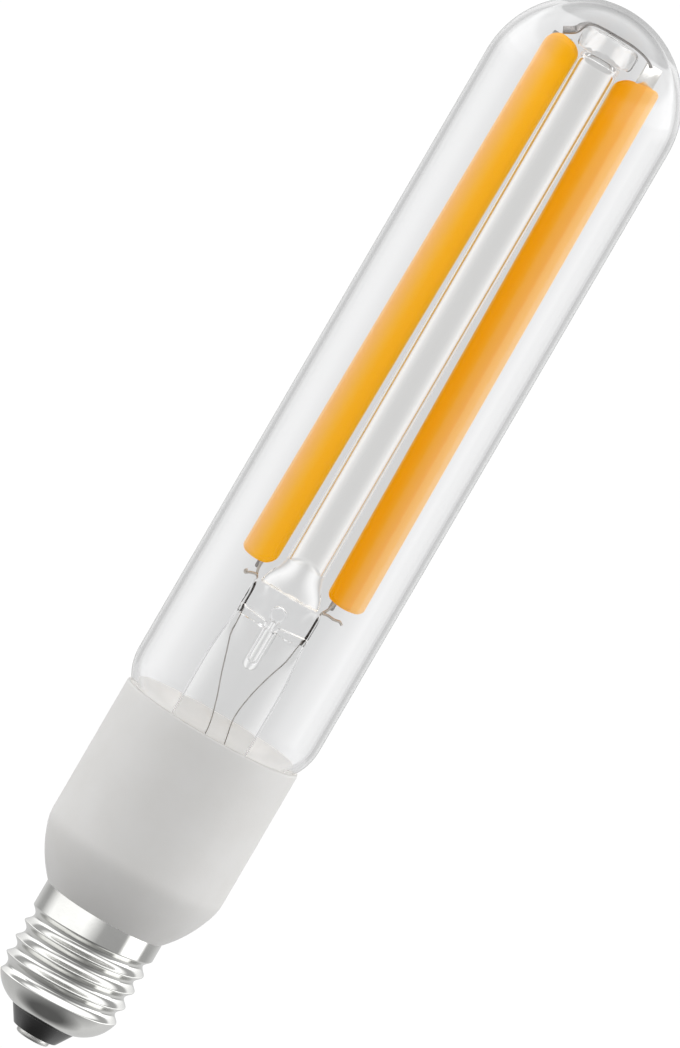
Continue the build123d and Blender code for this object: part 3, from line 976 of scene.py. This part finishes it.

# Materials: depths of relief, scales of noise per metre, and the phosphor's painted glow, which stands in for
# the light that the bars would catch
grain_height = 0.2 * mm
grain_fineness = 12
ripple_height = 0.4 * mm
ripple_scale = 60
speck_scale = 900
speck_shift = 0.05
phosphor_painted_glow = 0.525
wire_scale = 900
wire_wave = 0.6 * mm
wire_fade = 0.4 * mm
wire_dark_drop = 0.4 * mm
seam_scale = 1100


def shader(name):
    """New material and its Principled shader."""
    material = bpy.data.materials.new(name)
    material.use_nodes = True
    return material, material.node_tree.nodes["Principled BSDF"]


def node(owner, kind, inputs=(), **values):
    """Add a node to a material or world, set its properties, and set or link its inputs."""
    made = owner.node_tree.nodes.new(kind)
    for key, value in values.items():
        setattr(made, key, value)
    for key, value in dict(inputs).items():
        if isinstance(value, bpy.types.NodeSocket):
            owner.node_tree.links.new(value, made.inputs[key])
        else:
            made.inputs[key].default_value = value
    return made


def set_up(material, bsdf, **values):
    """Set or link the Principled shader's inputs, given with underscores for spaces."""
    for key, value in values.items():
        socket = bsdf.inputs[key.replace("_", " ")]
        if isinstance(value, bpy.types.NodeSocket):
            material.node_tree.links.new(value, socket)
        else:
            socket.default_value = value


def coordinates(owner, kind):
    """X, Y and Z of one kind of texture coordinate."""
    place = node(owner, "ShaderNodeTexCoord")
    return node(owner, "ShaderNodeSeparateXYZ", {"Vector": place.outputs[kind]}).outputs


def calc(owner, operation, *values):
    """Result of a calculation with values or sockets."""
    return node(owner, "ShaderNodeMath", dict(enumerate(values)), operation=operation).outputs["Value"]


def span(owner, value, start, end, low=0.0, high=1.0):
    """Value carried from one span to another, and held within it."""
    inputs = {"Value": value, "From Min": start, "From Max": end, "To Min": low, "To Max": high}
    return node(owner, "ShaderNodeMapRange", inputs).outputs["Result"]


def blend(owner, share, first, second):
    """Colour that goes from the first to the second with a share."""
    inputs = {0: share, 6: first, 7: second}
    return node(owner, "ShaderNodeMix", inputs, data_type="RGBA").outputs[2]


def object_noise(material, scale, detail=3.0, stretch=(1, 1, 1)):
    """Noise over the object's own coordinates, per metre."""
    place = node(material, "ShaderNodeTexCoord")
    mapped = node(material, "ShaderNodeMapping", {"Vector": place.outputs["Object"], "Scale": stretch})
    inputs = {"Vector": mapped.outputs["Vector"], "Scale": scale, "Detail": detail}
    return node(material, "ShaderNodeTexNoise", inputs).outputs["Fac"]


def wavy_height(material, scale, wave):
    """Height of a point of the object, made uneven by noise."""
    height = coordinates(material, "Object")["Z"]
    return calc(material, "MULTIPLY_ADD", object_noise(material, scale), wave, height)


def ramp(owner, factor, stops):
    """Colour ramp with the given (place, colour) stops."""
    made = node(owner, "ShaderNodeValToRGB", {"Fac": factor})
    elements = made.color_ramp.elements
    while len(elements) < len(stops):
        elements.new(0.5)
    for element, (place, colour) in zip(elements, stops):
        element.position = place
        element.color = (*colour, 1.0)
    return made.outputs["Color"]


def grey(value):
    """Opaque grey."""
    return (value, value, value, 1)


def bump(material, height, strength, distance):
    """Bump from a height."""
    inputs = {"Height": height, "Strength": strength, "Distance": distance}
    return node(material, "ShaderNodeBump", inputs).outputs["Normal"]


def mottled(name, low, high, scale, roughness, grain, **values):
    """Plain surface whose tone drifts between two near colours, with a fine grain in its relief."""
    material, bsdf = shader(name)
    tone = ramp(material, object_noise(material, scale), [(0.3, low), (0.7, high)])
    fine = object_noise(material, scale * grain_fineness, 2.0)
    relief = bump(material, fine, grain, grain_height)
    set_up(material, bsdf, Base_Color=tone, Roughness=roughness, Normal=relief, **values)
    return material


def clear_glass(name, ripple, tint, gloss, ior=1.5, blur=0.0):
    """Clear glass with the faint waves of blown or drawn glass."""
    material, bsdf = shader(name)
    wave = object_noise(material, ripple_scale, 1.0, (1, 1, 0.25))
    relief = bump(material, wave, ripple, ripple_height)
    set_up(material, bsdf, Base_Color=tint, Roughness=blur, IOR=ior, Specular_Tint=grey(gloss))
    set_up(material, bsdf, Transmission_Weight=1.0, Normal=relief)
    return material


def fused_glass(name, ripple, tint, gloss, ior, blur, seam):
    """Clear glass that turns milky below a height, where it is fused to the next piece, and shines there in
    cream with painted light.
    """
    material = clear_glass(name, ripple, tint, gloss, ior, blur)
    bsdf = material.node_tree.nodes["Principled BSDF"]
    height = wavy_height(material, seam_scale, seam_wave)
    clear = span(material, height, seam, seam + seam_fade, seam_clear)
    shine = span(material, clear, seam_clear, 1.0, seam_painted_glow, 0.0)
    set_up(material, bsdf, Transmission_Weight=clear)
    # Painted cream glow on the milky seam, which stands in for light
    set_up(material, bsdf, Emission_Color=(0.95, 0.90, 0.81, 1), Emission_Strength=shine)
    return material


def phosphor(name, tones):
    """Orange phosphor whose tone changes from the bar's inner edge to its outer edge, with painted shade and
    highlight in that change, and which shines in the same tone with painted light.
    """
    material, bsdf = shader(name)
    speck = object_noise(material, speck_scale, 4.0)
    across = calc(material, "MULTIPLY_ADD", speck, speck_shift, coordinates(material, "UV")["X"])
    tone = ramp(material, across, tones)
    relief = bump(material, speck, 0.08, grain_height)
    set_up(material, bsdf, Base_Color=tone, Roughness=0.6, Specular_IOR_Level=0.0, Normal=relief)
    # Painted glow in the bar's own tones, which stands in for light; the bar is no lamp
    set_up(material, bsdf, Emission_Color=tone, Emission_Strength=phosphor_painted_glow)
    return material


def banded_wire(name, place, low, high):
    """Wire that is dark below a height and bright above it."""
    material, bsdf = shader(name)
    height = wavy_height(material, wire_scale, wire_wave)
    share = span(material, height, place - wire_fade, place + wire_fade)
    tone = ramp(material, share, [(0.0, low), (1.0, high)])
    set_up(material, bsdf, Base_Color=tone, Roughness=0.3, Metallic=1.0)
    return material


# Tones of the two bars from the inner edge to the outer edge: the deep inner strip is painted shade from the
# bars lighting each other, the pale outer edge is partly the coating's thin edge and partly a painted
# highlight, and the pale first stop is a painted highlight on the inner edge
left_tones_with_painted_light = [
    (0.03, (0.80, 0.46, 0.08)),
    (0.07, (0.79, 0.37, 0.006)),
    (0.17, (0.80, 0.365, 0.004)),
    (0.30, (0.83, 0.38, 0.002)),
    (0.42, (0.84, 0.385, 0.006)),
    (0.53, (0.84, 0.41, 0.022)),
    (0.65, (0.835, 0.42, 0.05)),
    (0.80, (0.84, 0.435, 0.095)),
    (0.93, (0.85, 0.455, 0.15)),
    (1.0, (0.88, 0.55, 0.27)),
]
right_tones_with_painted_light = [
    (0.03, (0.80, 0.46, 0.10)),
    (0.08, (0.78, 0.30, 0.0)),
    (0.26, (0.78, 0.29, 0.0)),
    (0.38, (0.79, 0.325, 0.012)),
    (0.46, (0.80, 0.36, 0.045)),
    (0.68, (0.83, 0.385, 0.07)),
    (0.71, (0.86, 0.44, 0.11)),
    (0.87, (0.88, 0.49, 0.15)),
    (0.90, (0.90, 0.53, 0.21)),
    (1.0, (0.90, 0.56, 0.26)),
]
bulb_tint = (0.985, 0.986, 0.988, 1)
stem_tint = (0.995, 0.995, 0.993, 1)
column_tint = (0.995, 0.992, 0.985, 1)
metal = {"Metallic": 1.0}
# The silicone bead shines with a painted glow, which stands in for the light that reaches it through the
# glass
bead_painted_glow = {"Emission_Color": (0.9, 0.885, 0.86, 1), "Emission_Strength": 0.62}
# Darker and lighter tone, scale of the drift per metre, roughness, grain, and what else the surface needs
surfaces = {
    "bright_metal": ((0.74, 0.73, 0.70), (0.86, 0.85, 0.83), 400, 0.22, 0.1, metal),
    "strap_metal": ((0.30, 0.28, 0.27), (0.42, 0.40, 0.38), 400, 0.3, 0.1, metal),
    "thin_wire": ((0.42, 0.40, 0.38), (0.6, 0.57, 0.54), 900, 0.35, 0.1, metal),
    "white_plastic": ((0.83, 0.82, 0.80), (0.86, 0.852, 0.838), 120, 0.5, 0.05, {}),
    "silicone": ((0.88, 0.87, 0.84), (0.93, 0.92, 0.90), 300, 0.5, 0.1, bead_painted_glow),
    "nickel": ((0.72, 0.72, 0.70), (0.80, 0.80, 0.78), 150, 0.12, 0.02, metal),
    "black_glass": ((0.010, 0.010, 0.010), (0.022, 0.022, 0.022), 250, 0.08, 0.03, {"IOR": 2.0}),
    "solder": ((0.58, 0.58, 0.56), (0.74, 0.74, 0.72), 500, 0.3, 0.2, metal),
    "board": ((0.05, 0.18, 0.08), (0.07, 0.25, 0.11), 700, 0.4, 0.15, {}),
    "can": ((0.02, 0.02, 0.03), (0.04, 0.04, 0.06), 300, 0.35, 0.05, {}),
    "film_block": ((0.40, 0.06, 0.03), (0.50, 0.09, 0.05), 400, 0.25, 0.1, {}),
    "ferrite": ((0.03, 0.03, 0.032), (0.055, 0.055, 0.06), 900, 0.6, 0.3, {}),
    "copper": ((0.45, 0.16, 0.06), (0.60, 0.25, 0.10), 900, 0.3, 0.2, metal),
    "chip_black": ((0.012, 0.012, 0.012), (0.03, 0.03, 0.03), 900, 0.55, 0.2, {}),
    "fuse_body": ((0.10, 0.22, 0.15), (0.14, 0.28, 0.19), 500, 0.45, 0.1, {}),
    "wire_black": ((0.012, 0.012, 0.012), (0.03, 0.03, 0.03), 400, 0.4, 0.1, {}),
    "wire_white": ((0.74, 0.74, 0.72), (0.82, 0.82, 0.80), 400, 0.4, 0.1, {}),
}
lead_dark_z = press_top - wire_dark_drop
seam_z = press_top + seam_height
finishes = {slot: mottled(slot, *row[:-1], **row[-1]) for slot, row in surfaces.items()}
finishes["clear_glass"] = clear_glass("clear_glass", ripple=0.01, tint=bulb_tint, gloss=0.2)
finishes["phosphor"] = phosphor("phosphor", right_tones_with_painted_light)
finishes["dark_wire"] = banded_wire("dark_wire", lead_dark_z, (0.07, 0.06, 0.055), (0.60, 0.55, 0.49))
drawn_glass = {"ripple": 0.04, "gloss": 0.3, "ior": 1.25}
own_finishes = {
    "stem": clear_glass("stem_glass", tint=stem_tint, **drawn_glass),
    "support_column": fused_glass("column_glass", tint=column_tint, blur=0.05, seam=seam_z, **drawn_glass),
    "filament_left": phosphor("phosphor_left", left_tones_with_painted_light),
    "bottom_tab_left": finishes["strap_metal"],
    "bottom_tab_right": finishes["strap_metal"],
    "top_strap": finishes["strap_metal"],
}
slots = {row["node"]: row["material_slot"] for row in frame["record"]["subparts"]}
pieces = {
    "glass_bulb": glass_bulb,
    "stem": stem,
    "support_column": support_column,
    "filament_left": filament_left,
    "filament_right": filament_right,
    "housing": housing,
    "screw_shell": screw_shell,
    "insulator": insulator,
    "centre_contact": centre_contact,
    "top_strap": top_strap,
    "adhesive_ring": adhesive_ring,
    **tabs,
    **leads,
}
for name, slot in slots.items():
    piece = pieces.get(name, frame["nodes"][name])
    piece.data.materials.clear()
    piece.data.materials.append(own_finishes.get(name, finishes[slot]))
    if name in pieces:
        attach(piece, "root")
        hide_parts(name)


# Floor, and sheets that are seen only through the glass, whose greys draw the glass's edges
def flat_sheet(name, corners, material):
    """Flat sheet of the stage between its corners, which lights and mirrors in no other surface."""
    mesh = bmesh.new()
    mesh.faces.new([mesh.verts.new(corner) for corner in corners])
    sheet = new_piece(name, mesh)
    sheet.data.materials.append(material)
    sheet.visible_diffuse = False
    sheet.visible_glossy = False
    return sheet


def glowing(name):
    """New material with no nodes but its output, and that output."""
    material = bpy.data.materials.new(name)
    material.use_nodes = True
    material.node_tree.nodes.clear()
    return material, node(material, "ShaderNodeOutputMaterial")


def glow(material, output, colour, strength):
    """Let a material shine in one colour."""
    shine = node(material, "ShaderNodeEmission", {"Color": colour, "Strength": strength})
    material.node_tree.links.new(shine.outputs["Emission"], output.inputs["Surface"])


floor_size = 30.0
sheet_distance = 0.3
sheet_half = 0.3
sheet_height = 0.27
back_sheet_height = 0.36
sheet_glow = 1.5
sheet_cap_z = 0.234
sheet_cap_fade = 0.003
sheet_cap_bend = 10
sheet_cap_tone = 0.57
floor_sheet_tone = 0.74
floor_sheet_z = 0.5 * mm
# Grey of the sheets by the distance from their middle
sheet_tones = [
    (0.0, 0.67),
    (0.012, 0.69),
    (0.0225, 0.77),
    (0.042, 0.92),
    (0.067, 1.0),
    (0.11, 0.86),
    (0.15, 0.62),
    (0.2, 0.6),
    (0.24, 0.74),
]
square = [(-1, -1), (1, -1), (1, 1), (-1, 1)]
floor_material, bsdf = shader("pale_floor")
set_up(floor_material, bsdf, Base_Color=grey(0.03), Roughness=1.0, Specular_IOR_Level=0.0)
set_up(floor_material, bsdf, Emission_Color=grey(1), Emission_Strength=1.0)
floor = flat_sheet("floor", [(x * floor_size, y * floor_size, 0) for x, y in square], floor_material)
floor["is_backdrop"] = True

sheet_material, output = glowing("grey_sheet")
place = coordinates(sheet_material, "Object")
away = calc(sheet_material, "ABSOLUTE", place["X"])
side_tone = ramp(sheet_material, away, [(x, grey(v / sheet_glow)[:3]) for x, v in sheet_tones])
away_square = calc(sheet_material, "POWER", away, 2.0)
arch = calc(sheet_material, "MULTIPLY_ADD", away_square, -sheet_cap_bend, place["Z"])
cap = span(sheet_material, arch, sheet_cap_z, sheet_cap_z + sheet_cap_fade)
sheet_tone = blend(sheet_material, cap, side_tone, grey(sheet_cap_tone / sheet_glow))
glow(sheet_material, output, sheet_tone, sheet_glow)
ground_material, output = glowing("grey_ground")
glow(ground_material, output, grey(floor_sheet_tone), 1.0)
sheets = []
for quarter in range(4):
    top = sheet_height if quarter else back_sheet_height
    ends = [(-sheet_half, 0), (sheet_half, 0), (sheet_half, top), (-sheet_half, top)]
    upright = [(x, sheet_distance, z) for x, z in ends]
    sheet = flat_sheet(f"edge_sheet_{quarter}", upright, sheet_material)
    sheet.rotation_euler.z = quarter * pi / 2
    sheets.append(sheet)
level = [(x * sheet_half, y * sheet_half, floor_sheet_z) for x, y in square]
sheets.append(flat_sheet("edge_sheet_floor", level, ground_material))
for sheet in sheets:
    sheet.visible_camera = False
    sheet.visible_shadow = False
    sheet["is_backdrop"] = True

# Soft light all round: brightness by azimuth from the camera, in degrees counted to the right
studio = [
    (-180, 0.7),
    (-150, 0.65),
    (-128, 0.42),
    (-116, 0.42),
    (-104, 0.8),
    (-88, 1.35),
    (-62, 1.45),
    (-35, 1.45),
    (-18, 1.5),
    (-2, 0.95),
    (14, 0.46),
    (58, 0.43),
    (66, 2.0),
    (100, 2.0),
    (108, 0.45),
    (126, 0.45),
    (150, 0.65),
    (180, 0.7),
]
upper_studio = [
    (-180, 0.6),
    (-125, 1.3),
    (-90, 2.1),
    (-60, 1.6),
    (-25, 0.3),
    (15, 0.3),
    (50, 1.6),
    (90, 2.3),
    (125, 1.5),
    (180, 0.6),
]
lower_studio = [
    (-180, 0.65),
    (-120, 0.6),
    (-80, 0.5),
    (-30, 0.34),
    (0, 0.25),
    (30, 0.24),
    (80, 0.55),
    (120, 0.75),
    (180, 0.65),
]
band_tone = 0.45
zenith_tone = 1.5
nadir_tone = 0.12
light_top = 2.4
world = bpy.data.worlds.new("studio")
world.use_nodes = True
background = world.node_tree.nodes["Background"]
way = coordinates(world, "Generated")
azimuth = calc(world, "ARCTAN2", way["X"], calc(world, "MULTIPLY", way["Y"], -1.0))
turn_share = span(world, azimuth, -pi, pi)
zones = []
for tones in (lower_studio, studio, upper_studio):
    stops = [(0.5 + angle / 360, grey(v / light_top)[:3]) for angle, v in tones]
    zones.append(ramp(world, turn_share, stops))
# Each zone takes over between two heights of the direction, from the lower zone on
takeovers = [
    (-0.24, -0.14, zones[1]),
    (0.0, 0.1, zones[2]),
    (0.42, 0.5, grey(band_tone / light_top)),
    (0.66, 0.76, grey(zenith_tone / light_top)),
    (-0.75, -0.95, grey(nadir_tone / light_top)),
]
tone = zones[0]
for start, end, other in takeovers:
    tone = blend(world, span(world, way["Z"], start, end), tone, other)
world.node_tree.links.new(tone, background.inputs["Color"])
background.inputs["Strength"].default_value = light_top
bpy.context.scene.world = world

# Camera at the photograph's angle
view_elevation = radians(5.5)
view_roll = radians(30.24)
view_distance = 2.3044
view_lens = 400
view_sensor = 36
view_end = 200
look_at = Vector((1.5 * mm, 0, 119.8 * mm))
lens = bpy.data.cameras.new("camera")
lens.lens = view_lens
lens.sensor_width = view_sensor
lens.clip_end = view_end
camera = bpy.data.objects.new("camera", lens)
back = Vector((0, -cos(view_elevation), sin(view_elevation)))
turn = Matrix.Rotation(pi / 2 - view_elevation, 4, "X") @ Matrix.Rotation(view_roll, 4, "Z")
camera.matrix_world = Matrix.Translation(look_at + back * view_distance) @ turn
bpy.context.scene.collection.objects.link(camera)
bpy.context.scene.camera = camera
bpy.context.scene.view_settings.view_transform = "Standard"

low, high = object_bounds()
